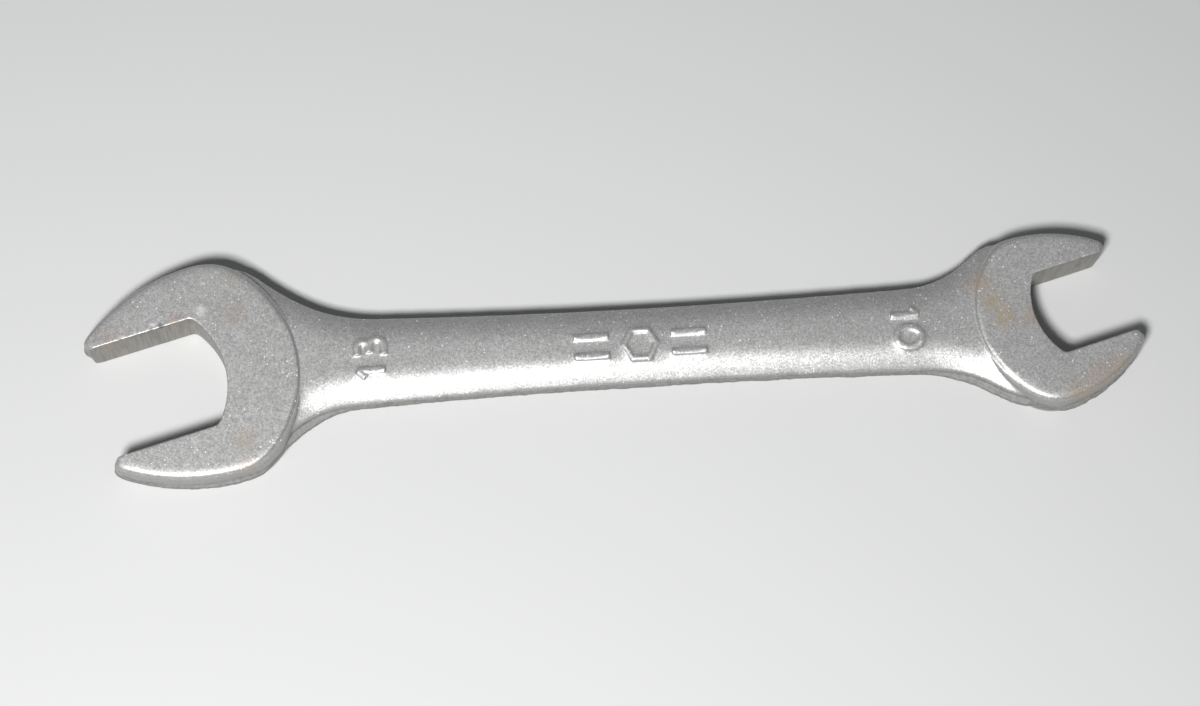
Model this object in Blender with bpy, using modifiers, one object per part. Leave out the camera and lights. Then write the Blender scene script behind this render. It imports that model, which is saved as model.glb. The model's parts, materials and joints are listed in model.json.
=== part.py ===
"""Double open-end wrench for 13 mm and 10 mm across flats, drop-forged in one piece.

Frame: metres, +Z up. The origin is at half the overall length, on the parting plane that
halves the thickness. The shank runs along X. The 13 mm head is at -X and the 10 mm head at +X,
and both jaws are turned 15 degrees from the shank, so the plan is S-shaped.
"""

import math
from collections import namedtuple

import bmesh
import bpy

MM = 0.001

# Heads
JAW_ANGLE = math.radians(15)
HEAD_HALF_THICKNESS = 2.7
HEAD_EDGE_RADIUS = 0.7
EDGE_SEGMENTS = 3
BACK_ARC_START = math.radians(136)
NOSE_START = math.radians(-75)
WEB_SHARE = 0.6
CUT_PAST_TIPS = 4.0
CUT_PAST_FACES = 2.0

# Straight steps that each curved stretch of a head's outline is divided into
NOSE_STEPS = 6
OUTER_STEPS = 14
SHOULDER_STEPS = 5
BACK_STEPS = 16
THROAT_STEPS = 9
CORNER_STEPS = 4

# Shank: where its waist is and how it widens away from it, and the heights of its section
WAIST_X = 4.0
WAIST_GROWTH = 0.00058
CROWN_HEIGHT = 2.35
CROWN_CAMBER = 0.12
LAND_HEIGHT = 1.0
LAND_GROWTH = 0.0055
LAND_LIMIT = 1.1
SLOPE_WIDTH = 3.4
SLOPE_POINTS = 6
FLARE_ROUNDING = 1.5
EDGE_PROBE = 0.5

# Flash: the thin web that the trimming die leaves along the parting plane
FLASH_HALF_THICKNESS = 0.42
FLASH_EDGE_RADIUS = 0.1
FLASH_PAST_TIP = 0.1
FLASH_BACK_INSET = 0.4
FLASH_GROWTH_LENGTH = 9.0

# Loft stations along X
SHANK_STEP = 4.0
FLARE_STEP = 1.2

# Raised marks: round beads that stand half sunk in the shank
STROKE_RADIUS = 0.58
STROKE_SINK = 0.28
STROKE_RESOLUTION = 2
FLAG_RUN = 0.8
FLAG_DROP = 0.9
BOWL_SWEEP = math.radians(100)
BOWL_STEPS = 9
RING_STEPS = 16

WELD_DISTANCE = 0.002
STEEL_COLOUR = (0.46, 0.455, 0.45, 1.0)
STEEL_ROUGHNESS = 0.42

# One open end, in mm. The centre is where the middle of the nut sits. A head's own axes are u,
# out of the opening, and v, across it; a pair of values is for its +v jaw and its -v jaw.
Head = namedtuple(
    "Head",
    "name centre turn gap throat_depth throat_radius throat_shift corner_radius "
    "back_radius back_shift half_widths shoulder tip_reaches tip_radius flash_widths",
)
HEAD_13 = Head(
    name="head_13", centre=(-51.8, -1.9), turn=math.pi + JAW_ANGLE, gap=13.1,
    throat_depth=7.0, throat_radius=10.4, throat_shift=-0.4, corner_radius=0.9,
    back_radius=15.5, back_shift=-0.5, half_widths=(12.75, 13.0), shoulder=6.4,
    tip_reaches=(8.2, 7.6), tip_radius=0.9, flash_widths=(0.4, 0.25),
)
HEAD_10 = Head(
    name="head_10", centre=(53.2, 1.3), turn=JAW_ANGLE, gap=10.1,
    throat_depth=5.3, throat_radius=8.4, throat_shift=-0.1, corner_radius=0.7,
    back_radius=12.3, back_shift=-0.4, half_widths=(10.3, 10.6), shoulder=5.2,
    tip_reaches=(6.0, 6.2), tip_radius=0.9, flash_widths=(0.3, 0.4),
)

# One side of the shank where it widens into a head: a parabola that starts at x with the given
# radius of curvature, and rounds off at the limit, inside the head. The flash widens along it.
Flare = namedtuple("Flare", "start radius limit flash")

# One whole side: half width and flash at the waist, and the flares into the 13 mm and 10 mm heads.
# The trimming die sat slightly off centre, so the flash grows wider at -Y.
Side = namedtuple("Side", "half_width flash left right")
SIDE_PLUS_Y = Side(4.52, 0.12, Flare(-27.0, 16.6, 12.4, 0.35), Flare(33.5, 9.2, 10.1, 0.35))
SIDE_MINUS_Y = Side(4.8, 0.16, Flare(-29.7, 9.3, 12.3, 1.0), Flare(33.45, 14.4, 9.9, 0.8))
LOFT_START = -46.0
LOFT_END = 48.5


# ---------------------------------------------------------------- plane geometry

def arc(centre, radius, start, end, count):
    """Points on a circular arc from angle start to angle end, both ends included."""
    points = []
    for i in range(count + 1):
        angle = start + (end - start) * i / count
        points.append((centre[0] + radius * math.cos(angle), centre[1] + radius * math.sin(angle)))
    return points


def blend(start, start_direction, end, end_direction, count):
    """Inner points of a cubic curve that leaves start and reaches end along the given directions."""
    reach = math.dist(start, end) / 3
    handle_a = [start[k] + reach * start_direction[k] for k in (0, 1)]
    handle_b = [end[k] - reach * end_direction[k] for k in (0, 1)]
    points = []
    for i in range(1, count):
        t = i / count
        s = 1 - t
        points.append(tuple(
            s ** 3 * start[k] + 3 * s * s * t * handle_a[k] + 3 * s * t * t * handle_b[k] + t ** 3 * end[k]
            for k in (0, 1)
        ))
    return points


def placed(points, head):
    """Points from a head's own axes, u out of the opening and v across it, to the wrench's."""
    cos_turn, sin_turn = math.cos(head.turn), math.sin(head.turn)
    return [
        (head.centre[0] + u * cos_turn - v * sin_turn, head.centre[1] + u * sin_turn + v * cos_turn)
        for u, v in points
    ]


# ---------------------------------------------------------------- scene helpers

def clear_scene():
    for item in list(bpy.data.objects):
        bpy.data.objects.remove(item, do_unlink=True)


def make_collection(name):
    collection = bpy.data.collections.new(name)
    bpy.context.scene.collection.children.link(collection)
    return collection


def forged_steel():
    material = bpy.data.materials.new("forged_steel")
    material.use_nodes = True
    shader = material.node_tree.nodes["Principled BSDF"]
    shader.inputs["Base Color"].default_value = STEEL_COLOUR
    shader.inputs["Metallic"].default_value = 1.0
    shader.inputs["Roughness"].default_value = STEEL_ROUGHNESS
    return material


def curve_to_mesh_object(curve_object, collection):
    """Replace a curve by the mesh it makes, with the caps welded on, kept as a hidden tool."""
    bpy.context.scene.collection.objects.link(curve_object)
    bpy.context.view_layer.update()
    evaluated = curve_object.evaluated_get(bpy.context.evaluated_depsgraph_get())
    mesh = bpy.data.meshes.new_from_object(evaluated)
    work = bmesh.new()
    work.from_mesh(mesh)
    bmesh.ops.remove_doubles(work, verts=work.verts, dist=WELD_DISTANCE * MM)
    bmesh.ops.recalc_face_normals(work, faces=work.faces)
    work.to_mesh(mesh)
    work.free()
    name = curve_object.name
    curve_object.name = name + "_curve"
    tool = bpy.data.objects.new(name, mesh)
    tool.matrix_world = curve_object.matrix_world
    bpy.data.objects.remove(curve_object, do_unlink=True)
    collection.objects.link(tool)
    tool.hide_render = True
    tool.display_type = "WIRE"
    return tool


def slab(name, outline, half_thickness, edge_radius, collection):
    """A flat plate with the given closed outline, centred on the parting plane."""
    curve = bpy.data.curves.new(name, "CURVE")
    curve.dimensions = "2D"
    curve.fill_mode = "BOTH"
    curve.extrude = (half_thickness - edge_radius) * MM
    curve.bevel_depth = edge_radius * MM
    curve.bevel_resolution = EDGE_SEGMENTS - 1
    curve.offset = -edge_radius * MM
    spline = curve.splines.new("POLY")
    spline.points.add(len(outline) - 1)
    for point, (x, y) in zip(spline.points, outline):
        point.co = (x * MM, y * MM, 0, 1)
    spline.use_cyclic_u = True
    return curve_to_mesh_object(bpy.data.objects.new(name, curve), collection)


# ---------------------------------------------------------------- heads

def head_side_outline(head, side):
    """Outline of the blank on one side of the jaw's centre line, from the tip to the back."""
    half_width, tip_reach = (pair[0 if side > 0 else 1] for pair in (head.half_widths, head.tip_reaches))
    nose_u, nose_v = tip_reach - head.tip_radius, head.gap / 2 + head.tip_radius
    # The outer arc peaks at the half width above the shoulder and meets the rounded nose smoothly.
    run, drop = nose_u + head.shoulder, half_width - nose_v
    radius = (run ** 2 + drop ** 2 - head.tip_radius ** 2) / (2 * (drop - head.tip_radius))
    outer_centre = (-head.shoulder, half_width - radius)
    tip_angle = math.atan2(nose_v - outer_centre[1], nose_u - outer_centre[0])

    # The web between the noses only lasts until the opening is cut.
    web = [(nose_u, WEB_SHARE * head.gap / 2)]
    nose = arc((nose_u, nose_v), head.tip_radius, NOSE_START, tip_angle, NOSE_STEPS)
    outer = arc(outer_centre, radius, tip_angle, math.pi / 2, OUTER_STEPS)[1:]
    back = arc((0, side * head.back_shift), head.back_radius, BACK_ARC_START, math.pi, BACK_STEPS)
    back_direction = (-math.sin(BACK_ARC_START), math.cos(BACK_ARC_START))
    shoulder = blend(outer[-1], (-1, 0), back[0], back_direction, SHOULDER_STEPS)
    return [(u, side * v) for u, v in web + nose + outer + shoulder + back]


def head_outline(head):
    return head_side_outline(head, 1) + head_side_outline(head, -1)[-2::-1]


def head_blank(head, collection):
    outline = placed(head_outline(head), head)
    return slab(head.name, outline, HEAD_HALF_THICKNESS, HEAD_EDGE_RADIUS, collection)


def head_flash(head, collection):
    """The flash round a head: a little wider than the blank, and short of it at the back."""
    wider = head._replace(
        half_widths=tuple(width + flash for width, flash in zip(head.half_widths, head.flash_widths)),
        tip_reaches=tuple(reach + FLASH_PAST_TIP for reach in head.tip_reaches),
        back_radius=head.back_radius - FLASH_BACK_INSET,
    )
    name = head.name.replace("head", "flash")
    outline = placed(head_outline(wider), head)
    return slab(name, outline, FLASH_HALF_THICKNESS, FLASH_EDGE_RADIUS, collection)


def jaw_side_outline(head, side):
    """Outline of the opening on one side, from the bottom of the throat outwards."""
    jaw, radius, corner = head.gap / 2, head.throat_radius, head.corner_radius
    throat_centre = (radius - head.throat_depth, side * head.throat_shift)
    # The corner is a small arc, tangent to the throat's arc and to the flat jaw.
    corner_v = jaw - corner
    rise = corner_v - throat_centre[1]
    corner_u = throat_centre[0] - math.sqrt((radius - corner) ** 2 - rise ** 2)
    meeting = math.atan2(rise, corner_u - throat_centre[0])
    throat = arc(throat_centre, radius, math.pi, meeting, THROAT_STEPS)
    bend = arc((corner_u, corner_v), corner, meeting, math.pi / 2, CORNER_STEPS)[1:]
    past_tips = max(head.tip_reaches) + CUT_PAST_TIPS
    return [(u, side * v) for u, v in throat + bend + [(past_tips, jaw)]]


def jaw_cutter(head, collection):
    outline = jaw_side_outline(head, -1)[::-1] + jaw_side_outline(head, 1)[1:]
    half_height = HEAD_HALF_THICKNESS + CUT_PAST_FACES
    return slab(head.name.replace("head", "jaw"), placed(outline, head), half_height, 0.0, collection)


# ---------------------------------------------------------------- shank

def smooth_minimum(a, b, rounding):
    """The smaller of two lengths, with the change from one to the other rounded off."""
    overlap = max(0.0, rounding - abs(a - b))
    return min(a, b) - overlap ** 2 / (4 * rounding)


def into_flare(x, side):
    """How far x lies inside the flare that it is nearer to, or 0 between the flares."""
    return max(side.left.start - x, x - side.right.start, 0.0)


def half_width(x, side):
    """Distance from the shank's centre line to the edge of its flash on one side."""
    nearest = min(max(x, side.left.start), side.right.start)
    width = side.half_width + WAIST_GROWTH * (nearest - WAIST_X) ** 2
    if x == nearest:
        return width
    flare = side.left if x < nearest else side.right
    return smooth_minimum(width + into_flare(x, side) ** 2 / (2 * flare.radius), flare.limit, FLARE_ROUNDING)


def land_height(x, side):
    """Half the height of the upright land at the shank's edge, which grows towards the heads."""
    return min(LAND_HEIGHT + LAND_GROWTH * into_flare(x, side) ** 2, LAND_LIMIT)


def flash_width(x, side):
    """How far the flash stands out from the land beside x."""
    flare = side.left if x < WAIST_X else side.right
    share = min(1.0, into_flare(x, side) / FLASH_GROWTH_LENGTH)
    return side.flash + (flare.flash - side.flash) * share * share * (3 - 2 * share)


def land_width(x, side):
    return half_width(x, side) - flash_width(x, side)


def slope_width(x, side):
    """How far the slope reaches in from the land at x; it is SLOPE_WIDTH square to the shank's edge."""
    rise = half_width(x + EDGE_PROBE, side) - half_width(x - EDGE_PROBE, side)
    return SLOPE_WIDTH * math.hypot(1, rise / (2 * EDGE_PROBE))


def surface_height(x, y):
    """Height of the shank's upper surface: a slightly cambered crown falling to the edge land."""
    side = SIDE_PLUS_Y if y > 0 else SIDE_MINUS_Y
    width = land_width(x, side)
    from_edge = max(0.0, width - abs(y))
    fall = max(0.0, 1 - from_edge / slope_width(x, side)) ** 2
    crown = CROWN_HEIGHT - CROWN_CAMBER * min(1.0, (y / width) ** 2)
    return crown - (crown - land_height(x, side)) * fall


def shank_section(x):
    """Upper half of the section at x, from the -Y edge over the crown to the +Y edge."""
    low, high = half_width(x, SIDE_MINUS_Y), half_width(x, SIDE_PLUS_Y)
    land_low, land_high = land_width(x, SIDE_MINUS_Y), land_width(x, SIDE_PLUS_Y)
    steps = [k / SLOPE_POINTS for k in range(SLOPE_POINTS + 1)]
    across = [step * slope_width(x, SIDE_MINUS_Y) - land_low for step in steps] + [0.0]
    across += [land_high - step * slope_width(x, SIDE_PLUS_Y) for step in reversed(steps)]
    points = [(x, y, z) for y, z in ((-low, 0.0), (-low, FLASH_HALF_THICKNESS))]
    points.append((x, -land_low, FLASH_HALF_THICKNESS))
    points += [(x, y, surface_height(x, y)) for y in across]
    points.append((x, land_high, FLASH_HALF_THICKNESS))
    points += [(x, y, z) for y, z in ((high, FLASH_HALF_THICKNESS), (high, 0.0))]
    return points


def loft_stations():
    left = max(SIDE_PLUS_Y.left.start, SIDE_MINUS_Y.left.start)
    right = min(SIDE_PLUS_Y.right.start, SIDE_MINUS_Y.right.start)
    stations = []
    spans = ((LOFT_START, left, FLARE_STEP), (left, right, SHANK_STEP), (right, LOFT_END, FLARE_STEP))
    for start, end, step in spans:
        count = math.ceil((end - start) / step)
        stations += [start + (end - start) * i / count for i in range(count)]
    return stations + [LOFT_END]


def shank_mesh():
    """Loft of the upper half, open at the parting plane."""
    work = bmesh.new()
    rows = []
    for x in loft_stations():
        rows.append([work.verts.new([value * MM for value in point]) for point in shank_section(x)])
    for row, following in zip(rows, rows[1:]):
        for j in range(len(row) - 1):
            work.faces.new((row[j], following[j], following[j + 1], row[j + 1]))
    work.faces.new(rows[0])
    work.faces.new(reversed(rows[-1]))
    mesh = bpy.data.meshes.new("wrench_body")
    work.to_mesh(mesh)
    work.free()
    return mesh


# ---------------------------------------------------------------- raised marks

def stroke(name, points, collection, closed=False):
    """A round bead along the points, half sunk in the shank's upper surface."""
    curve = bpy.data.curves.new(name, "CURVE")
    curve.dimensions = "3D"
    curve.bevel_depth = STROKE_RADIUS * MM
    curve.bevel_resolution = STROKE_RESOLUTION
    curve.use_fill_caps = not closed
    spline = curve.splines.new("POLY")
    spline.points.add(len(points) - 1)
    for point, (x, y) in zip(spline.points, points):
        point.co = (x * MM, y * MM, (surface_height(x, y) - STROKE_SINK) * MM, 1)
    spline.use_cyclic_u = closed
    return curve_to_mesh_object(bpy.data.objects.new(name, curve), collection)


def glyph_placer(x, y, up):
    """Maps a numeral's own right and up to the shank, with its top towards +X or -X."""
    return lambda points: [(x + up * rise, y - up * right) for right, rise in points]


def mark_numeral_one(name, place, height, collection):
    top = (0.0, height)
    stroke(name + "_stem", place([(0.0, 0.0), top]), collection)
    stroke(name + "_flag", place([top, (-FLAG_RUN, height - FLAG_DROP)]), collection)


def mark_thirteen(collection):
    baseline_x, height = -27.0, 3.1
    mark_numeral_one("thirteen_one", glyph_placer(baseline_x, -1.65, -1), height, collection)
    # The numeral three is two bowls that meet at its waist.
    place = glyph_placer(baseline_x, -0.15, -1)
    bottom, waist, top = (0.3, 0.05), (0.6, 1.65), (0.3, 3.05)
    lower = arc((1.35, 0.85), 0.85, -BOWL_SWEEP, BOWL_SWEEP, BOWL_STEPS)
    upper = arc((1.15, 2.4), 0.72, -BOWL_SWEEP, BOWL_SWEEP, BOWL_STEPS)
    stroke("thirteen_three_lower", place([bottom] + lower + [waist]), collection)
    stroke("thirteen_three_upper", place([waist] + upper + [top]), collection)


def mark_ten(collection):
    baseline_x, height = 31.3, 3.2
    mark_numeral_one("ten_one", glyph_placer(baseline_x, 1.2, 1), height, collection)
    ring_centre, ring_radii = (33.2, -1.45), (1.5, 1.2)
    ring = [
        tuple(middle + radius * share for middle, radius, share in zip(ring_centre, ring_radii, point))
        for point in arc((0, 0), 1, 0, 2 * math.pi, RING_STEPS)[:-1]
    ]
    stroke("ten_zero", ring, collection, closed=True)


def mark_ornament(collection):
    """A hexagon between two pairs of bars, in the middle of the shank."""
    middle, hexagon_radius = (2.2, -0.4), 1.9
    bar_from, bar_to, bar_offset = 3.6, 7.6, 1.15
    hexagon = arc(middle, hexagon_radius, 0, 2 * math.pi, 6)[:-1]
    stroke("ornament_hexagon", hexagon, collection, closed=True)
    for side in (-1, 1):
        ends = [middle[0] + side * distance for distance in (bar_from, bar_to)]
        for row in (-1, 1):
            y = middle[1] + row * bar_offset
            stroke(f"ornament_bar_{side}_{row}", [(x, y) for x in ends], collection)


# ---------------------------------------------------------------- assembly

def add_boolean(target, name, operation, tool=None, tools=None):
    modifier = target.modifiers.new(name, "BOOLEAN")
    modifier.operation = operation
    modifier.solver = "EXACT"
    if tools:
        modifier.operand_type = "COLLECTION"
        modifier.collection = tools
    else:
        modifier.object = tool
    return modifier


def build():
    clear_scene()
    wrench = make_collection("open_end_wrench")
    cutters = make_collection("cutters")
    marks = make_collection("marks")

    body = bpy.data.objects.new("wrench_body", shank_mesh())
    wrench.objects.link(body)
    body.data.materials.append(forged_steel())

    mirror = body.modifiers.new("halves", "MIRROR")
    mirror.use_axis = (False, False, True)
    mirror.merge_threshold = WELD_DISTANCE * MM
    for head in (HEAD_13, HEAD_10):
        for tool in (head_blank(head, cutters), head_flash(head, cutters)):
            add_boolean(body, tool.name, "UNION", tool=tool)
    for head in (HEAD_13, HEAD_10):
        cutter = jaw_cutter(head, cutters)
        add_boolean(body, cutter.name, "DIFFERENCE", tool=cutter)

    mark_thirteen(marks)
    mark_ten(marks)
    mark_ornament(marks)
    add_boolean(body, "marks", "UNION", tools=marks)


build()
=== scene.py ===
"""Looks for a double open-end wrench: shot-blasted forged steel on a pale studio floor.

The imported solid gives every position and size. A fine copy of it is smoothed where the solid is
faceted, then worked like a forging: drafted sides, a ragged flash line, grain, lumps and nicks.
Lengths are in millimetres inside the mesh work and in metres in Blender.
"""

import itertools
import json
import math
from collections import namedtuple

import bmesh
import bpy
import numpy as np
from mathutils import Matrix, Vector
from mathutils.bvhtree import BVHTree


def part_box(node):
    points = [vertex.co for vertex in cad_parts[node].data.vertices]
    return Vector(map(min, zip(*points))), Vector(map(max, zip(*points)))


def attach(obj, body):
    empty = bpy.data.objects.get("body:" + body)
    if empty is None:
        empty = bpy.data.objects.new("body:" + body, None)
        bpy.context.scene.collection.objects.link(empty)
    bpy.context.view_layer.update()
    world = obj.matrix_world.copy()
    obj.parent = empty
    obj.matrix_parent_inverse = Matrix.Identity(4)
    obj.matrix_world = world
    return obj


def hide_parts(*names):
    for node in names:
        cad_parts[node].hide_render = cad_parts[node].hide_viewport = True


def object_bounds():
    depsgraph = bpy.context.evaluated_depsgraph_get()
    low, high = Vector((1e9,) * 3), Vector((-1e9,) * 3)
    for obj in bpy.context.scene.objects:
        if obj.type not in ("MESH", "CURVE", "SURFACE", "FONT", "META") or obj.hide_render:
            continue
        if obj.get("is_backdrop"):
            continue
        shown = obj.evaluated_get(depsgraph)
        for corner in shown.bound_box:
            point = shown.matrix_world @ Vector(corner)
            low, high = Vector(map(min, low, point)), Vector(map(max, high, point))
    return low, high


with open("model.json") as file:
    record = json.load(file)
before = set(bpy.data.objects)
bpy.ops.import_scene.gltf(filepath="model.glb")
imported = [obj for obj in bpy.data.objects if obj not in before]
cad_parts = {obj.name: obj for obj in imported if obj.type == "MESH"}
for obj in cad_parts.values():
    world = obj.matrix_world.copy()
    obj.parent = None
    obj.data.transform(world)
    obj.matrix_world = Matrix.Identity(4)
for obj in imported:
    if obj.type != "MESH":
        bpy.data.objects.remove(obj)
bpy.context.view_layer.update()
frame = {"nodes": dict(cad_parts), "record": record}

MM = 0.001
BODY_NODE = "wrench_body"

# Mesh work: sizes of the remeshing grid, and distance at which the solid's doubled points are merged
VOXEL = 0.10
WELD = 0.0005
FINAL_TRIANGLES = 195000

# Smoothing: everywhere, and where the solid is plain. Real edges and marks are told from facets by how
# many degrees their normals turn away from the mean within the radius.
SOFTEN_RADIUS = 0.08
FACET_RADIUS = 0.55
FEATURE_ANGLES = (7.0, 14.0)
FEATURE_RADIUS = 0.3

# Forged sides: easing of their edges, full below the first height and none above the second
FLANK_RADIUS = 0.16
FLANK_HEIGHTS = (1.2, 1.8)

# Walls: radius over which the normals that push them are averaged, and the horizontal part of such a
# normal where a wall begins and where it is full
PUSH_RADIUS = 0.2
WALL_TILTS = (0.35, 0.7)

# The flash's half height and how sharply it ends, its ragged edge (cell size, depth), and its notches
# with the noise at which they begin and are full
FLASH_HALF_HEIGHT = 0.5
FLASH_SHARPNESS = 6
RAGGED = ((2.4, 0.04), (0.8, 0.04), (0.35, 0.03))
NOTCH_CELL = 1.2
NOTCH_DEPTH = 0.07
NOTCH_LEVELS = (0.35, 0.75)

# How far the walls lean inwards, above and below the flash, at the given height from the middle plane
UPPER_DRAFT = 0.02
LOWER_DRAFT = 0.2
DRAFT_HEIGHT = 2.0

# Openings: how far beyond their walls the cut surface's mask fades, and the rounding of their rims,
# which begins at the first depth below a face and is full at the second
CUT_FADE = (0.1, 0.4)
CUT_RIM_RADIUS = 0.13
CUT_RIM_DEPTHS = (0.5, 0.2)

# Step from a head's face down to the shank: where the shank's crown is measured, the part of the step's
# height that is made steep, how far round the head it goes, and its reach in widths of the opening
CROWN_PROBE = (15.0, 0.0)
STEP_SHARE = (0.1, 0.9)
STEP_SPREAD = (math.radians(30), math.radians(44))
STEP_REACH = 1.45

# Surface relief (cell size, amplitude), and the share of it that the cut walls lack
LUMPS = ((7.0, 0.03), (2.6, 0.012))
GRAIN = ((0.9, 0.003), (0.42, 0.0025))
CUT_RELIEF_LOSS = 0.8

# First seed of each kind of noise
RAGGED_SEED = 11
NOTCH_SEED = 15
RELIEF_SEED = 21
WEB_SEED = 41

# Camera: angles in radians, distance and target in millimetres, near clip in metres
CAMERA_AZIMUTH = math.radians(-10.737)
CAMERA_ELEVATION = math.radians(71.0)
CAMERA_ROLL = math.radians(6.796)
CAMERA_DISTANCE = 287.7
CAMERA_TARGET = (-2.341, -0.427, 0.0)
CAMERA_LENS = 75.0
CAMERA_CLIP = 0.01

# Key light: tilt from the vertical and azimuth as the camera's in degrees, distance and size in metres
KEY_TILT = 32.0
KEY_AZIMUTH = -25.0
KEY_DISTANCE = 0.36
KEY_SIZE = 0.06
KEY_POWER = 1.45

# Floor: side in metres, gap under the wrench in millimetres
FLOOR_SIZE = 4.0
FLOOR_GAP = 0.02
FLOOR_COLOUR = (0.69, 0.695, 0.69, 1)
FLOOR_ROUGHNESS = 0.9

# Light from all around
SKY_COLOUR = (0.95, 0.97, 1.0, 1)
SKY_STRENGTH = 0.12

# Vertical part of a surface's normal: where the painted shade on slopes is fullest and where it ends,
# and where a wall is full and where it ends
SLOPE_TILTS = (0.76, 0.98)
UPRIGHT_TILTS = (0.25, 0.6)

# Dark forging scale and painted shade on the flash: height it reaches, how blurred and how irregular that
# is (cell size, amplitude)
WEB_HEIGHT = 0.8
WEB_BLUR = 0.06
WEB_WANDER = ((1.6, 0.14), (0.5, 0.18))

# Painted highlight on edges and painted shade in creases: how far the surface stands out from, or lies
# below, its mean within the radius
BULGE_RADIUS = 0.3
BULGES = (0.015, 0.09)

# Share of a patch's radius where it begins to fade, and where it is gone
PATCH_FADE = (0.2, 1.5)

# Cell sizes of the steel's textures, and how far the streaks on a cut wall are drawn out
CLOUD_CELL = 5.0
MOTTLE_CELL = 0.5
PIT_CELL = 0.2
CLUSTER_CELL = 2.2
STREAK_CELL = 0.25
STREAK_SCALE = (1.0, 1.0, 0.06)

# Painted glints, small bright specks: cell size, radius, rarity
GLINT_SPECKS = ((0.55, 0.14, 0.82), (0.3, 0.11, 0.84))

# Random tilt of the normal for shading: cell size, strength
FINE_TILT = (0.13, 0.10)
COARSE_TILT = (0.5, 0.08)

# The steel's tones: pairs are mixed by a texture
CLOUD_TONES = ((0.575, 0.571, 0.565, 1), (0.625, 0.622, 0.617, 1))
# Dark forging scale with painted shade, for the flash
SCALE_AND_SHADE_TONES = ((0.20, 0.198, 0.19, 1), (0.30, 0.296, 0.285, 1))
WALL_TONES = ((0.22, 0.212, 0.195, 1), (0.34, 0.328, 0.30, 1))
RUST_TONES = ((0.44, 0.26, 0.14, 1), (0.38, 0.28, 0.12, 1))
DARK_SPOT = (0.05, 0.04, 0.035, 1)
# White of the painted glints
SPARKLE = (1.0, 1.0, 1.0, 1)

# Tones laid over the steel one after the other by its texture: texture, range, shares at its ends, tone
TEXTURED_TONES = (
    ("mottle", (0.5, 0.75), (0.0, 0.5), (0.74, 0.737, 0.73, 1)),
    ("mottle", (0.3, 0.5), (0.4, 0.0), (0.47, 0.468, 0.465, 1)),
    ("pits", (0.32, 0.56), (0.7, 0.0), (0.40, 0.395, 0.39, 1)),
    ("pits", (0.55, 0.75), (0.0, 0.5), (0.80, 0.797, 0.79, 1)),
    # Painted highlight along convex edges
    ("edge", (0.2, 1.0), (0.0, 0.3), (0.70, 0.70, 0.69, 1)),
)

# Then where a mask is on: mask, share, tone
MASKED_TONES = (
    ("polish", 0.8, (0.98, 0.98, 0.97, 1)),
    # Painted shade on slopes
    ("slope", 0.45, (0.32, 0.318, 0.31, 1)),
    # Painted shade on the outer walls
    ("side", 0.35, (0.22, 0.218, 0.21, 1)),
    # Painted shade in creases
    ("crease", 0.6, (0.16, 0.165, 0.15, 1)),
)

# Shares of the flash's dark scale and painted shade, of the cut walls' streaks and of the dark spot
WEB_SHARE = 0.9
CUT_SHARE = 0.9
DARK_SHARE = 0.8

# Gloss: roughness at the two ends of the mottle, what the flash adds to it, and how metallic bright
# and dull places are
ROUGHNESS = (0.43, 0.48)
WEB_ROUGHNESS = 0.25
METALLIC = (0.55, 0.2)

Jaw = namedtuple("Jaw", "centre out across gap throat")

# Marks of use on the 13 mm and the 10 mm head, in millimetres: along the jaw, across it, radius, and
# strength from 0 to 1 for patches or depth for nicks
RUST_PATCHES = (
    ((-12.4, 10.1, 1.2, 0.4), (-11.4, 5.3, 1.3, 0.5), (-8.1, -9.3, 1.5, 0.6), (-7.5, -12.6, 1.4, 0.6),
     (2.7, 6.6, 1.6, 0.5), (-4.7, 6.6, 1.0, 0.6)),
    ((-10.9, 3.3, 1.5, 1.0), (-10.2, 1.2, 1.5, 1.0), (-11.4, 6.0, 1.6, 0.8), (-7.0, 0.4, 1.3, 0.9),
     (-2.0, -9.1, 1.8, 0.8), (0.1, -8.6, 1.6, 0.8), (-5.0, -10.2, 2.0, 0.8)),
)
POLISHED_PATCHES = (((-7.8, 7.0, 0.6, 1.0),), ())
DARK_PATCHES = (((-3.0, 6.7, 0.35, 1.0),), ())
NICKS = (((-2.1, 6.86, 0.35, 0.08), (1.6, 6.7, 0.3, 0.05)), ((1.1, 5.2, 0.35, 0.06),))


# ---------------------------------------------------------------- what the frame says

def jaw_from_record(size, solid):
    """One opening from its two face mounts: middle, outward and across axes, gap, throat depth."""
    mounts = {mount["name"]: mount for mount in frame["record"]["mounts"]}
    upper, lower = (mounts[f"jaw_{size}_{side}_face"] for side in ("upper", "lower"))
    across = Vector(lower["axis"])
    middle = (Vector(upper["pos_m"]) + Vector(lower["pos_m"])) / 2
    out = Vector((across.y, -across.x, 0.0))
    if out.x * middle.x < 0:
        out.negate()
    gap = abs((Vector(upper["pos_m"]) - Vector(lower["pos_m"])).dot(across))
    throat = solid.ray_cast(middle, -out)[3]
    return Jaw(np.array(middle) / MM, np.array(out), np.array(across), gap / MM, throat / MM)


def top_height(solid, x, y):
    """Height of the solid's upper surface at a place, in millimetres like the place."""
    clear_of_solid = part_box(BODY_NODE)[1].z / MM + 1
    above = Vector((x, y, clear_of_solid)) * MM
    return solid.ray_cast(above, Vector((0, 0, -1)))[0].z / MM


# ---------------------------------------------------------------- mesh arrays

def smoothstep(low, high, values):
    share = np.clip((values - low) / (high - low), 0.0, 1.0)
    return share * share * (3 - 2 * share)


def value_noise(points, cell, seed):
    """Smooth noise between -1 and 1 that changes over the given cell size."""
    period = 64
    table = np.random.default_rng(seed).uniform(-1, 1, (period, period, period))
    scaled = points / cell
    base = np.floor(scaled).astype(int)
    part = scaled - base
    part = part * part * (3 - 2 * part)
    total = np.zeros(len(points))
    for corner in itertools.product((0, 1), repeat=3):
        index = (base + corner) % period
        weight = np.prod(np.where(corner, part, 1 - part), axis=1)
        total += weight * table[index[:, 0], index[:, 1], index[:, 2]]
    return total


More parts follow.
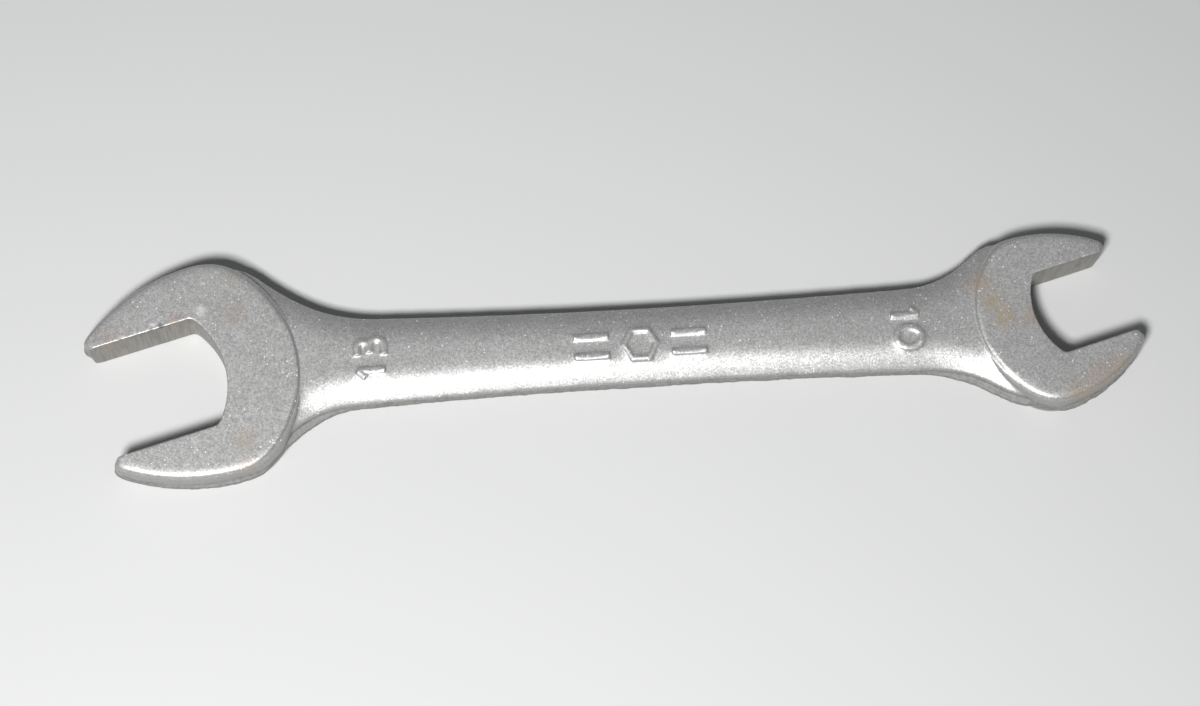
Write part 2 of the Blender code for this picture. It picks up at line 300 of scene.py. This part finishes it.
class Surface:
    """A fine mesh as arrays in millimetres, with the neighbour averages that smoothing needs."""

    def __init__(self, mesh):
        self.mesh = mesh
        self.points = self.read(mesh.vertices, "co") / MM
        edges = np.empty(len(mesh.edges) * 2, np.int32)
        mesh.edges.foreach_get("vertices", edges)
        self.first, self.second = edges.reshape(-1, 2).T
        count = len(self.points)
        self.neighbours = np.bincount(self.first, minlength=count) + np.bincount(self.second, minlength=count)
        lengths = np.linalg.norm(self.points[self.first] - self.points[self.second], axis=1)
        self.spacing = float(np.mean(lengths))

    @staticmethod
    def read(items, name):
        flat = np.empty(len(items) * 3, np.float32)
        items.foreach_get(name, flat)
        return flat.reshape(-1, 3).astype(float)

    def write(self):
        self.mesh.vertices.foreach_set("co", (self.points * MM).astype(np.float32).ravel())
        self.mesh.update()

    def normals(self):
        self.write()
        return self.read(self.mesh.vertex_normals, "vector")

    def average(self, values):
        """The mean of each vertex's neighbours."""
        count = len(self.points)
        columns = values.reshape(count, -1)
        result = np.empty_like(columns)
        for k in range(columns.shape[1]):
            total = np.bincount(self.first, columns[self.second, k], count)
            total += np.bincount(self.second, columns[self.first, k], count)
            result[:, k] = total / self.neighbours
        return result.reshape(values.shape)

    def highest(self, values, radius):
        """Each value raised to the highest one within the radius."""
        values = values.copy()
        for _ in range(round(radius / self.spacing)):
            around = values.copy()
            np.maximum.at(around, self.first, values[self.second])
            np.maximum.at(around, self.second, values[self.first])
            values = around
        return values

    def spread(self, values, radius, weight=1.0):
        """Values blurred over about the given radius, less where weight is low."""
        rounds = max(1, round((2 * radius / self.spacing) ** 2))
        share = weight if np.ndim(weight) == 0 or np.ndim(values) == 1 else weight[:, None]
        for _ in range(rounds):
            values = values + 0.5 * share * (self.average(values) - values)
        return values


# ---------------------------------------------------------------- forged shape

def apply_modifiers(piece):
    """Put the mesh that the piece's modifiers make in the place of the one it has."""
    bpy.context.view_layer.update()
    evaluated = piece.evaluated_get(bpy.context.evaluated_depsgraph_get())
    made = bpy.data.meshes.new_from_object(evaluated)
    former = piece.data
    piece.modifiers.clear()
    piece.data = made
    bpy.data.meshes.remove(former)


def fine_copy(source):
    """A closed even mesh of the solid, fine enough to carry relief."""
    work = bmesh.new()
    work.from_mesh(source.data)
    bmesh.ops.remove_doubles(work, verts=work.verts, dist=WELD * MM)
    mesh = bpy.data.meshes.new("forged_wrench")
    work.to_mesh(mesh)
    work.free()
    piece = bpy.data.objects.new("forged_wrench", mesh)
    bpy.context.scene.collection.objects.link(piece)
    remesh = piece.modifiers.new("even", "REMESH")
    remesh.mode = "VOXEL"
    remesh.voxel_size = VOXEL * MM
    apply_modifiers(piece)
    return piece


def smooth_facets(surface):
    """Round the solid's facets away, and only soften its real edges and marks."""
    surface.points = surface.spread(surface.points, SOFTEN_RADIUS)
    normals = surface.normals()
    wide = surface.spread(normals, FEATURE_RADIUS)
    wide /= np.linalg.norm(wide, axis=1)[:, None]
    turn = np.degrees(np.arccos(np.clip((normals * wide).sum(axis=1), -1, 1)))
    feature = surface.highest(smoothstep(*FEATURE_ANGLES, turn), FEATURE_RADIUS)
    plain = 1 - surface.spread(feature, FEATURE_RADIUS / 2)
    surface.points = surface.spread(surface.points, FACET_RADIUS, plain)


def jaw_mask(points, jaws):
    """1 on the walls of the openings, which are cut after forging, and 0 elsewhere."""
    near, far = CUT_FADE
    mask = np.zeros(len(points))
    for jaw in jaws:
        offset = points - jaw.centre
        along = offset @ jaw.out
        across = np.abs(offset @ jaw.across)
        inside = 1 - smoothstep(jaw.gap / 2 + near, jaw.gap / 2 + far, across)
        mask = np.maximum(mask, inside * smoothstep(-jaw.throat - far, -jaw.throat - near, along))
    return mask


def soften_flanks(surface, cut):
    """Ease the edges of the flash and of the walls beside it, but not the marks on the faces."""
    flank = 1 - smoothstep(*FLANK_HEIGHTS, np.abs(surface.points[:, 2]))
    surface.points = surface.spread(surface.points, FLANK_RADIUS, flank * (1 - cut))


def round_cut_rims(surface, jaws, face):
    """Take the keen edge off the openings where their walls meet the faces."""
    low, high = CUT_RIM_DEPTHS
    near_face = smoothstep(face - low, face - high, np.abs(surface.points[:, 2]))
    rim = jaw_mask(surface.points, jaws) * near_face
    surface.points = surface.spread(surface.points, CUT_RIM_RADIUS, rim)


def sharpen_steps(surface, jaws, crown, face):
    """Make the step from each head's face down to the shank crisp."""
    height = np.abs(surface.points[:, 2])
    share = (height - crown) / (face - crown)
    stepped = crown + (face - crown) * smoothstep(*STEP_SHARE, share)
    for jaw in jaws:
        offset = (surface.points - jaw.centre)[:, :2]
        to_shank = -np.sign(jaw.centre[0]) * offset[:, 0] / np.linalg.norm(offset, axis=1)
        weight = smoothstep(math.cos(STEP_SPREAD[1]), math.cos(STEP_SPREAD[0]), to_shank)
        weight *= (share > 0) & (np.linalg.norm(offset, axis=1) < STEP_REACH * jaw.gap)
        height = height + weight * (stepped - height)
    surface.points[:, 2] = np.copysign(height, surface.points[:, 2])


def forge_sides(surface, cut):
    """Give the outer walls draft, and the flash between them a ragged edge."""
    normals = surface.spread(surface.normals(), PUSH_RADIUS)
    sideways = normals * (1, 1, 0)
    length = np.linalg.norm(sideways, axis=1)
    direction = sideways / np.maximum(length, 1e-6)[:, None]
    wall = smoothstep(*WALL_TILTS, length) * (1 - cut)
    plan = surface.points * (1, 1, 0)
    ragged = sum(depth * value_noise(plan, cell, RAGGED_SEED + k) for k, (cell, depth) in enumerate(RAGGED))
    ragged -= NOTCH_DEPTH * smoothstep(*NOTCH_LEVELS, value_noise(plan, NOTCH_CELL, NOTCH_SEED))
    height = surface.points[:, 2]
    flash = np.exp(-(np.abs(height) / FLASH_HALF_HEIGHT) ** FLASH_SHARPNESS)
    draft = np.where(height > 0, UPPER_DRAFT, LOWER_DRAFT) * np.abs(height) / DRAFT_HEIGHT
    surface.points += direction * (wall * (ragged * flash - draft * (1 - flash)))[:, None]


def add_nicks(surface, jaws):
    """Knock small dents into the upper rims of the openings."""
    for jaw, nicks in zip(jaws, NICKS):
        for along, across, radius, depth in nicks:
            middle = jaw.centre + along * jaw.out + across * jaw.across
            distance = np.linalg.norm((surface.points - middle)[:, :2], axis=1)
            dent = depth * np.exp(-(distance / radius) ** 2) * (surface.points[:, 2] > 0)
            surface.points[:, 2] -= dent
            surface.points += np.outer(dent * np.sign(across), jaw.across)


def add_relief(surface, cut):
    """Lumps and blasting grain, along the surface's normal."""
    normals = surface.normals()
    height = np.zeros(len(surface.points))
    for k, (cell, amplitude) in enumerate(LUMPS + GRAIN):
        height += amplitude * value_noise(surface.points, cell, RELIEF_SEED + k)
    surface.points += normals * (height * (1 - CUT_RELIEF_LOSS * cut))[:, None]


def store(mesh, name, values):
    """Keep one value from 0 to 1 for each vertex, for the material to read."""
    attribute = mesh.attributes.new(name, "FLOAT", "POINT")
    attribute.data.foreach_set("value", np.clip(values, 0, 1).astype(np.float32))


def thin_out(piece):
    """Collapse the mesh where it is flat, down to the final number of triangles."""
    triangles = sum(len(polygon.vertices) - 2 for polygon in piece.data.polygons)
    thin = piece.modifiers.new("thin", "DECIMATE")
    thin.ratio = min(1.0, FINAL_TRIANGLES / triangles)
    apply_modifiers(piece)


def patch_mask(points, jaws, patches_by_head, face):
    """Soft round patches on the heads' two faces, as strengths from 0 to 1."""
    mask = np.zeros(len(points))
    for jaw, patches in zip(jaws, patches_by_head):
        for along, across, radius, strength in patches:
            middle = jaw.centre + along * jaw.out + across * jaw.across
            offset = points - middle
            offset[:, 2] = face - np.abs(points[:, 2])
            distance = np.linalg.norm(offset, axis=1)
            fade = smoothstep(PATCH_FADE[0] * radius, PATCH_FADE[1] * radius, distance)
            mask = np.maximum(mask, strength * (1 - fade))
    return mask


def web_mask(points):
    """1 on the flash, up to a wandering line a little above it."""
    limit = WEB_HEIGHT
    for k, (cell, amplitude) in enumerate(WEB_WANDER):
        limit = limit + amplitude * value_noise(points * (1, 1, 0), cell, WEB_SEED + k)
    return 1 - smoothstep(limit - WEB_BLUR, limit + WEB_BLUR, np.abs(points[:, 2]))


def store_masks(piece, jaws, face):
    """Mark on the mesh the places that the material treats in a way of their own."""
    surface = Surface(piece.data)
    normals = surface.normals()
    upright = 1 - smoothstep(*UPRIGHT_TILTS, np.abs(normals[:, 2]))
    cut = jaw_mask(surface.points, jaws) * upright
    mean = surface.spread(surface.points, BULGE_RADIUS)
    bulge = ((surface.points - mean) * normals).sum(axis=1)
    store(piece.data, "cut", cut)
    # The flash band, which carries dark forging scale and painted shade
    store(piece.data, "web", web_mask(surface.points) * (1 - jaw_mask(surface.points, jaws)))
    # Painted shade on the outer walls, which also keeps the glints off them
    store(piece.data, "side", upright * (1 - cut))
    # Painted shade on slopes, by how far the normal leans
    store(piece.data, "slope", 1 - smoothstep(*SLOPE_TILTS, np.abs(normals[:, 2])))
    # Painted highlight on convex edges and painted shade in creases
    store(piece.data, "edge", smoothstep(*BULGES, bulge))
    store(piece.data, "crease", smoothstep(*BULGES, -bulge))
    for name, patches in (("rust", RUST_PATCHES), ("polish", POLISHED_PATCHES), ("dark", DARK_PATCHES)):
        store(piece.data, name, patch_mask(surface.points, jaws, patches, face))


def forge(piece, jaws, crown, face):
    """Work the fine copy into the forging, thin it and mark its surface."""
    surface = Surface(piece.data)
    smooth_facets(surface)
    sharpen_steps(surface, jaws, crown, face)
    round_cut_rims(surface, jaws, face)
    cut = jaw_mask(surface.points, jaws)
    soften_flanks(surface, cut)
    forge_sides(surface, cut)
    add_nicks(surface, jaws)
    add_relief(surface, cut)
    surface.write()
    thin_out(piece)
    store_masks(piece, jaws, face)
    piece.data.shade_smooth()


# ---------------------------------------------------------------- steel

class Nodes:
    """Short calls for building a node tree."""

    def __init__(self, tree):
        self.tree = tree
        self.position = self.add("ShaderNodeTexCoord").outputs["Object"]

    def add(self, kind, **settings):
        node = self.tree.nodes.new(kind)
        for name, value in settings.items():
            setattr(node, name, value)
        return node

    def link(self, source, target):
        if isinstance(source, (int, float, tuple)):
            target.default_value = source
        else:
            self.tree.links.new(source, target)

    def attribute(self, name):
        return self.add("ShaderNodeAttribute", attribute_name=name).outputs["Fac"]

    def noise(self, cell, detail=2.0, roughness=0.5, position=None):
        node = self.add("ShaderNodeTexNoise")
        self.link(position or self.position, node.inputs["Vector"])
        node.inputs["Scale"].default_value = 1 / (cell * MM)
        node.inputs["Detail"].default_value = detail
        node.inputs["Roughness"].default_value = roughness
        return node.outputs["Fac"]

    def specks(self, cell, radius, rarity):
        """Small dots of varied strength, in those cells whose random value is above the rarity."""
        node = self.add("ShaderNodeTexVoronoi", feature="F1")
        self.link(self.position, node.inputs["Vector"])
        node.inputs["Scale"].default_value = 1 / (cell * MM)
        split = self.add("ShaderNodeSeparateColor")
        self.link(node.outputs["Color"], split.inputs["Color"])
        chosen = self.math("GREATER_THAN", split.outputs["Red"], rarity)
        dot = self.between(node.outputs["Distance"], 0.5 * radius / cell, radius / cell, 1.0, 0.0)
        strength = self.between(split.outputs["Green"], 0.0, 0.8, 0.3, 1.0)
        return self.math("MULTIPLY", self.math("MULTIPLY", chosen, dot), strength)

    def between(self, value, low, high, to_low=0.0, to_high=1.0):
        """Value mapped smoothly from low..high to to_low..to_high."""
        node = self.add("ShaderNodeMapRange", interpolation_type="SMOOTHSTEP")
        for name, item in zip(("Value", "From Min", "From Max", "To Min", "To Max"),
                              (value, low, high, to_low, to_high)):
            self.link(item, node.inputs[name])
        return node.outputs["Result"]

    def math(self, operation, a, b):
        node = self.add("ShaderNodeMath", operation=operation)
        self.link(a, node.inputs[0])
        self.link(b, node.inputs[1])
        return node.outputs["Value"]

    def scatter(self, node, cell, strength):
        """A small random vector from a texture's colour, up to half the strength each way."""
        self.link(self.position, node.inputs["Vector"])
        node.inputs["Scale"].default_value = 1 / (cell * MM)
        centred = self.add("ShaderNodeVectorMath", operation="SUBTRACT")
        self.link(node.outputs["Color"], centred.inputs[0])
        centred.inputs[1].default_value = (0.5, 0.5, 0.5)
        scaled = self.add("ShaderNodeVectorMath", operation="SCALE")
        self.link(centred.outputs[0], scaled.inputs[0])
        self.link(strength, scaled.inputs["Scale"])
        return scaled.outputs[0]

    def vector_sum(self, *vectors):
        total = vectors[0]
        for vector in vectors[1:]:
            node = self.add("ShaderNodeVectorMath", operation="ADD")
            self.link(total, node.inputs[0])
            self.link(vector, node.inputs[1])
            total = node.outputs[0]
        return total

    def mix(self, share, a, b):
        node = self.add("ShaderNodeMix", data_type="RGBA")
        self.link(share, node.inputs[0])
        self.link(a, node.inputs[6])
        self.link(b, node.inputs[7])
        return node.outputs[2]


def steel_material():
    material = bpy.data.materials.new("forged_steel")
    material.use_nodes = True
    n = Nodes(material.node_tree)
    shader = material.node_tree.nodes["Principled BSDF"]

    # Textures, with values about 0.5
    cloud = n.noise(CLOUD_CELL, detail=3.0)
    mottle = n.noise(MOTTLE_CELL, detail=3.0, roughness=0.6)
    pits = n.noise(PIT_CELL, detail=1.0, roughness=0.6)
    upright = n.add("ShaderNodeMapping", vector_type="POINT")
    n.link(n.position, upright.inputs["Vector"])
    upright.inputs["Scale"].default_value = STREAK_SCALE
    streaks = n.noise(STREAK_CELL, detail=3.0, roughness=0.65, position=upright.outputs["Vector"])
    names = ("cut", "side", "web", "rust", "dark")
    cut, side, web, rust, dark = (n.attribute(name) for name in names)

    # The steel itself, what forging, cutting and wear left on it, a painted highlight on edges, and painted
    # shade on slopes, outer walls, creases and the flash
    tone = n.mix(n.between(cloud, 0.3, 0.7), *CLOUD_TONES)
    textures = {"mottle": mottle, "pits": pits, "edge": n.attribute("edge")}
    for texture, ends, shares, colour in TEXTURED_TONES:
        tone = n.mix(n.between(textures[texture], *ends, *shares), tone, colour)
    for mask, share, colour in MASKED_TONES:
        tone = n.mix(n.math("MULTIPLY", n.attribute(mask), share), tone, colour)
    scale_and_shade = n.mix(n.between(mottle, 0.3, 0.7), *SCALE_AND_SHADE_TONES)
    # Dark forging scale with painted shade on the flash
    tone = n.mix(n.math("MULTIPLY", web, WEB_SHARE), tone, scale_and_shade)
    wall = n.mix(n.between(streaks, 0.3, 0.7), *WALL_TONES)
    tone = n.mix(n.math("MULTIPLY", cut, CUT_SHARE), tone, wall)

    # Rust, a dark spot, and painted glints: bright specks that come in clusters on the open faces
    stain = n.math("MULTIPLY", rust, n.between(mottle, 0.35, 0.65, 0.15, 0.75))
    tone = n.mix(stain, tone, n.mix(n.between(cloud, 0.4, 0.6), *RUST_TONES))
    tone = n.mix(n.math("MULTIPLY", dark, DARK_SHARE), tone, DARK_SPOT)
    open_face = n.math("SUBTRACT", 1.0, n.math("MAXIMUM", web, n.math("MAXIMUM", side, cut)))
    cluster = n.between(n.noise(CLUSTER_CELL), 0.42, 0.62, 0.35, 1.0)
    sparkle = n.math("MAXIMUM", *(n.specks(*kind) for kind in GLINT_SPECKS))
    sparkle = n.math("MULTIPLY", n.math("MULTIPLY", sparkle, open_face), cluster)
    tone = n.mix(sparkle, tone, SPARKLE)
    n.link(tone, shader.inputs["Base Color"])

    rough = n.between(mottle, 0.3, 0.7, *ROUGHNESS)
    rough = n.math("ADD", rough, n.math("MULTIPLY", web, WEB_ROUGHNESS))
    n.link(rough, shader.inputs["Roughness"])
    dull = n.math("MAXIMUM", n.math("MAXIMUM", sparkle, stain), web)
    n.link(n.between(dull, 0.0, 1.0, *METALLIC), shader.inputs["Metallic"])

    fine = n.scatter(n.add("ShaderNodeTexVoronoi", feature="F1"), *FINE_TILT)
    coarse = n.scatter(n.add("ShaderNodeTexNoise"), *COARSE_TILT)
    surface = n.add("ShaderNodeNewGeometry").outputs["Normal"]
    tilted = n.add("ShaderNodeVectorMath", operation="NORMALIZE")
    n.link(n.vector_sum(surface, fine, coarse), tilted.inputs[0])
    n.link(tilted.outputs[0], shader.inputs["Normal"])
    return material


# ---------------------------------------------------------------- studio

def floor(height):
    bpy.ops.mesh.primitive_plane_add(size=FLOOR_SIZE, location=(0, 0, height))
    plane = bpy.context.object
    plane.name = "studio_floor"
    material = bpy.data.materials.new("pale_floor")
    material.use_nodes = True
    shader = material.node_tree.nodes["Principled BSDF"]
    shader.inputs["Base Color"].default_value = FLOOR_COLOUR
    shader.inputs["Roughness"].default_value = FLOOR_ROUGHNESS
    shader.inputs["Specular IOR Level"].default_value = 0.0
    plane.data.materials.append(material)
    plane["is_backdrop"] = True


def softbox(name, tilt, azimuth, distance, size, power):
    """A square area light aimed at the wrench; tilt is from the vertical, azimuth as the camera's."""
    light = bpy.data.lights.new(name, "AREA")
    light.shape = "SQUARE"
    light.size = size
    light.energy = power
    lamp = bpy.data.objects.new(name, light)
    bpy.context.scene.collection.objects.link(lamp)
    tilt, azimuth = math.radians(tilt), math.radians(azimuth)
    away = Vector((
        math.sin(azimuth) * math.sin(tilt), -math.cos(azimuth) * math.sin(tilt), math.cos(tilt),
    ))
    lamp.location = away * distance
    lamp.rotation_euler = away.to_track_quat("Z", "Y").to_euler()


def surroundings():
    """Weak even light, so that nothing is quite black."""
    world = bpy.data.worlds.new("studio")
    bpy.context.scene.world = world
    world.use_nodes = True
    background = world.node_tree.nodes["Background"]
    background.inputs["Color"].default_value = SKY_COLOUR
    background.inputs["Strength"].default_value = SKY_STRENGTH


def camera():
    """The camera as solved from the photo, rolled about its line of sight."""
    azimuth, elevation, roll = CAMERA_AZIMUTH, CAMERA_ELEVATION, CAMERA_ROLL
    back = Vector((
        math.sin(azimuth) * math.cos(elevation),
        -math.cos(azimuth) * math.cos(elevation),
        math.sin(elevation),
    ))
    level = Vector((math.cos(azimuth), math.sin(azimuth), 0.0))
    upright = back.cross(level)
    right = math.cos(roll) * level + math.sin(roll) * upright
    up = -math.sin(roll) * level + math.cos(roll) * upright
    data = bpy.data.cameras.new("photo_angle")
    data.lens = CAMERA_LENS
    data.clip_start = CAMERA_CLIP
    eye = bpy.data.objects.new("photo_angle", data)
    bpy.context.scene.collection.objects.link(eye)
    turn = Matrix((right, up, back)).transposed().to_4x4()
    eye.matrix_world = Matrix.Translation((Vector(CAMERA_TARGET) + back * CAMERA_DISTANCE) * MM) @ turn
    bpy.context.scene.camera = eye


# ---------------------------------------------------------------- put together

source = frame["nodes"][BODY_NODE]
solid = BVHTree.FromObject(source, bpy.context.evaluated_depsgraph_get())
jaws = [jaw_from_record(size, solid) for size in (13, 10)]

face_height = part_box(BODY_NODE)[1].z / MM
crown_height = top_height(solid, *CROWN_PROBE)

wrench = fine_copy(source)
forge(wrench, jaws, crown_height, face_height)
wrench.data.materials.clear()
wrench.data.materials.append(steel_material())
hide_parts(BODY_NODE)
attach(wrench, "root")

floor(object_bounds()[0].z - FLOOR_GAP * MM)
softbox("key", KEY_TILT, KEY_AZIMUTH, KEY_DISTANCE, KEY_SIZE, KEY_POWER)
bpy.context.scene.view_settings.view_transform = "Standard"
surroundings()
camera()
